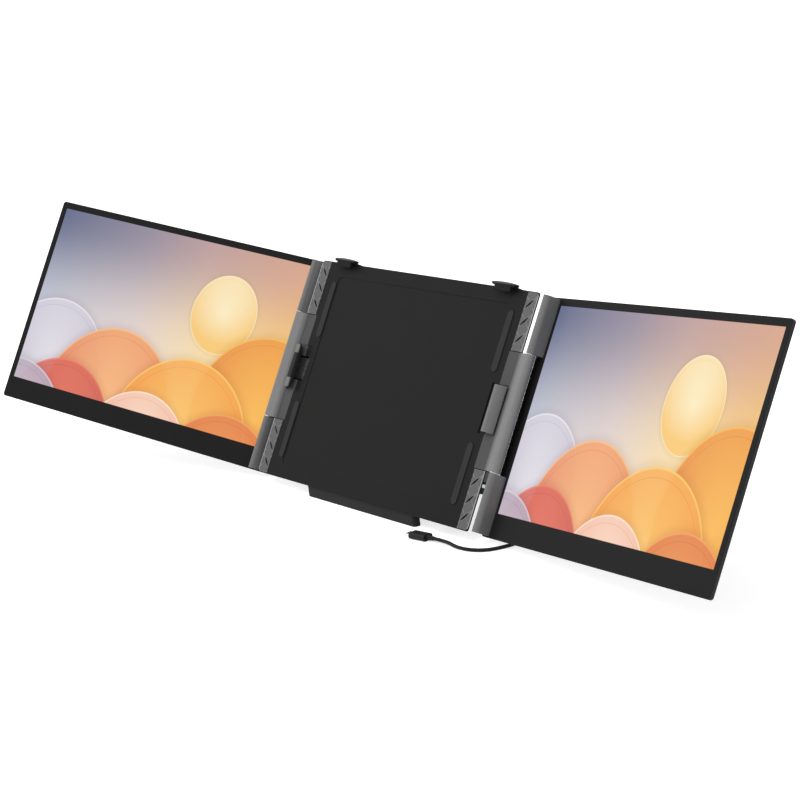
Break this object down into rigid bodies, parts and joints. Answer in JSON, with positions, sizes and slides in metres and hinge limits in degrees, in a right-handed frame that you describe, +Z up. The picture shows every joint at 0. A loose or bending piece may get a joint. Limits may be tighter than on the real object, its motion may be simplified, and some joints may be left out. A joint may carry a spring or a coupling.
{
  "type": "laptop screen extender",
  "caption": "Flat base sheet that clips behind a laptop lid and carries a hinged display at each side, with side clamps, top clips, a folding stand and a lead.",
  "frame": {"origin": "centre of the rubber foot's contact with the desk, midway between the two hinges", "axes": "+X to the user's right, +Y away from the user, +Z up; the base leans back thirty degrees about X"},
  "size_m": [1.0678, 0.2943, 0.264],
  "materials": {
    "sheet_plastic": "fine moulded texture",
    "cover_plastic": "fine moulded texture",
    "foot_rubber": "matt",
    "pad_rubber": "matt soft",
    "circuit_board": "solder mask",
    "steel": "satin",
    "stand_metal": "bead-blasted dark",
    "quilted_strip": "quilted relief",
    "hinge_grey": "satin grey",
    "clamp_grey": "satin",
    "cap_grey": "satin",
    "screen_shell": "bead-blasted dark",
    "bezel_black": "satin",
    "display": "anti-glare screen",
    "light_guide": "white",
    "key_plastic": "satin",
    "cord_jacket": "satin",
    "plug_plastic": "satin"
  },
  "bodies": {
    "base": {"base_front_frame": "sheet_plastic", "base_back_cover": "cover_plastic", "base_foot": "foot_rubber", "lid_pads": "pad_rubber", "base_screws": "steel", "main_board": "circuit_board", "usb_sockets": "steel", "stand_pins": "steel", "side_lattice_right": "quilted_strip", "hinge_bracket_right": "hinge_grey", "hinge_pins_right": "steel", "hinge_washers_right": "steel", "clamp_guide_right": "sheet_plastic", "top_clip_guide_right": "sheet_plastic", "side_lattice_left": "quilted_strip", "hinge_bracket_left": "hinge_grey", "hinge_pins_left": "steel", "hinge_washers_left": "steel", "clamp_guide_left": "sheet_plastic", "top_clip_guide_left": "sheet_plastic", "usb_lead": "cord_jacket", "usb_plug_base": "plug_plastic", "usb_plug_laptop": "plug_plastic"},
    "stand": {"stand_plate": "stand_metal", "stand_foot": "foot_rubber"},
    "screen_right": {"screen_right_back_shell": "screen_shell", "screen_right_bezel": "bezel_black", "screen_right_display": "display", "screen_right_backlight": "light_guide", "screen_right_driver_board": "circuit_board", "screen_right_hinge_barrels": "hinge_grey", "screen_right_screws": "steel"},
    "screen_right_power_key_cap": {"screen_right_power_key": "key_plastic"},
    "screen_right_menu_key_cap": {"screen_right_menu_key": "key_plastic"},
    "clamp_right": {"clamp_jaw_right": "clamp_grey", "clamp_pad_right": "pad_rubber", "clamp_rail_right": "steel"},
    "top_clip_right": {"top_clip_cap_right": "cap_grey", "top_clip_pad_right": "pad_rubber", "top_clip_strap_right": "steel"},
    "screen_left": {"screen_left_back_shell": "screen_shell", "screen_left_bezel": "bezel_black", "screen_left_display": "display", "screen_left_backlight": "light_guide", "screen_left_driver_board": "circuit_board", "screen_left_hinge_barrels": "hinge_grey", "screen_left_screws": "steel"},
    "screen_left_power_key_cap": {"screen_left_power_key": "key_plastic"},
    "screen_left_menu_key_cap": {"screen_left_menu_key": "key_plastic"},
    "clamp_left": {"clamp_jaw_left": "clamp_grey", "clamp_pad_left": "pad_rubber", "clamp_rail_left": "steel"},
    "top_clip_left": {"top_clip_cap_left": "cap_grey", "top_clip_pad_left": "pad_rubber", "top_clip_strap_left": "steel"}
  },
  "joints": [
    {"name": "stand_hinge", "type": "hinge", "parent": "base", "child": "stand", "pos_m": [0, 0.07751, 0.13463], "axis": [1, 0, 0], "range_deg": [-45.91, 8]},
    {"name": "screen_right_hinge", "type": "hinge", "parent": "base", "child": "screen_right", "pos_m": [0.1863, 0.0512, 0.10767], "axis": [0, -0.5, -0.866], "range_deg": [-9.7, 170.3]},
    {"name": "screen_right_power_key_press", "type": "slide", "parent": "screen_right", "child": "screen_right_power_key_cap", "axis": [-0.1685, -0.8536, 0.4929], "range_m": [0, 0.0004], "stiffness_N_per_m": 900},
    {"name": "screen_right_menu_key_press", "type": "slide", "parent": "screen_right", "child": "screen_right_menu_key_cap", "axis": [-0.1685, -0.8536, 0.4929], "range_m": [0, 0.0004], "stiffness_N_per_m": 900},
    {"name": "clamp_right_slide", "type": "slide", "parent": "base", "child": "clamp_right", "axis": [1, 0, 0], "range_m": [-0.016, 0.002]},
    {"name": "top_clip_right_slide", "type": "slide", "parent": "base", "child": "top_clip_right", "axis": [0, 0.5, 0.866], "range_m": [0, 0.012]},
    {"name": "screen_left_hinge", "type": "hinge", "parent": "base", "child": "screen_left", "pos_m": [-0.1863, 0.04774, 0.10967], "axis": [0, 0.5, 0.866], "range_deg": [-20.7, 159.3]},
    {"name": "screen_left_power_key_press", "type": "slide", "parent": "screen_left", "child": "screen_left_power_key_cap", "axis": [0.3535, -0.8101, 0.4677], "range_m": [0, 0.0004], "stiffness_N_per_m": 900},
    {"name": "screen_left_menu_key_press", "type": "slide", "parent": "screen_left", "child": "screen_left_menu_key_cap", "axis": [0.3535, -0.8101, 0.4677], "range_m": [0, 0.0004], "stiffness_N_per_m": 900},
    {"name": "clamp_left_slide", "type": "slide", "parent": "base", "child": "clamp_left", "axis": [-1, 0, 0], "range_m": [-0.016, 0.002]},
    {"name": "top_clip_left_slide", "type": "slide", "parent": "base", "child": "top_clip_left", "axis": [0, 0.5, 0.866], "range_m": [0, 0.012]}
  ]
}
